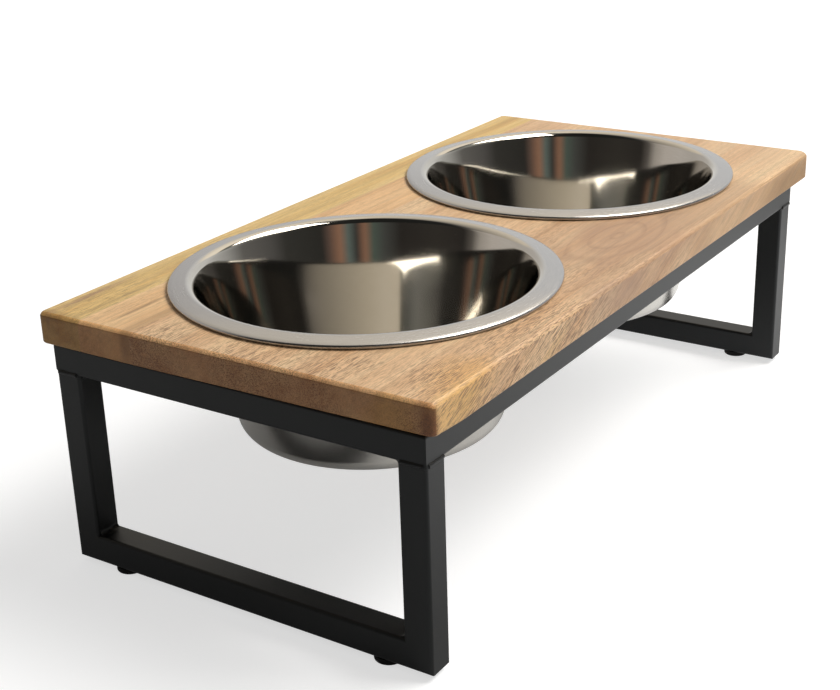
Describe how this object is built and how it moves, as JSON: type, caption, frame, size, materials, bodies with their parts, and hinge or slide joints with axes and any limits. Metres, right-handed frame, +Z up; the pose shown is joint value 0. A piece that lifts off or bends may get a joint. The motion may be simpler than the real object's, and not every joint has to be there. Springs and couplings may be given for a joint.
{
  "type": "raised dog feeder",
  "caption": "Raised dog feeder: a wooden board on a low welded square-tube stand with rubber feet, and rimmed steel bowls that hang in round holes and lift out.",
  "frame": {"origin": "on the floor, under the middle of the board", "axes": "+X along the board to its right end, +Y to its back edge, +Z up"},
  "size_m": [0.496, 0.25, 0.1557],
  "materials": {
    "front_wood": "satin lacquer on light hardwood",
    "middle_wood": "satin lacquer on light hardwood",
    "back_wood": "satin lacquer on light hardwood",
    "powder_coat": "satin black powder coat",
    "coated_weld": "satin black powder coat over weld",
    "screw_steel": "black oxide",
    "foot_rubber": "matt black",
    "bowl_steel": "polished inside, satin rim and outside"
  },
  "bodies": {
    "stand": {"front_stave": "front_wood", "middle_stave": "middle_wood", "back_stave": "back_wood", "front_rail": "powder_coat", "back_rail": "powder_coat", "left_rail": "powder_coat", "right_rail": "powder_coat", "front_left_post": "powder_coat", "back_left_post": "powder_coat", "front_right_post": "powder_coat", "back_right_post": "powder_coat", "left_foot_rail": "powder_coat", "right_foot_rail": "powder_coat", "frame_corner_welds": "coated_weld", "post_welds": "coated_weld", "foot_corner_welds": "coated_weld", "board_screws": "screw_steel", "front_left_foot": "foot_rubber", "back_left_foot": "foot_rubber", "front_right_foot": "foot_rubber", "back_right_foot": "foot_rubber", "foot_screws": "screw_steel"},
    "left_bowl": {"left_bowl": "bowl_steel"},
    "right_bowl": {"right_bowl": "bowl_steel"}
  },
  "joints": [
    {"name": "left_bowl_lift", "type": "slide", "parent": "stand", "child": "left_bowl", "axis": [0, 0, 1], "range_m": [0, 0.12]},
    {"name": "right_bowl_lift", "type": "slide", "parent": "stand", "child": "right_bowl", "axis": [0, 0, 1], "range_m": [0, 0.12]}
  ]
}
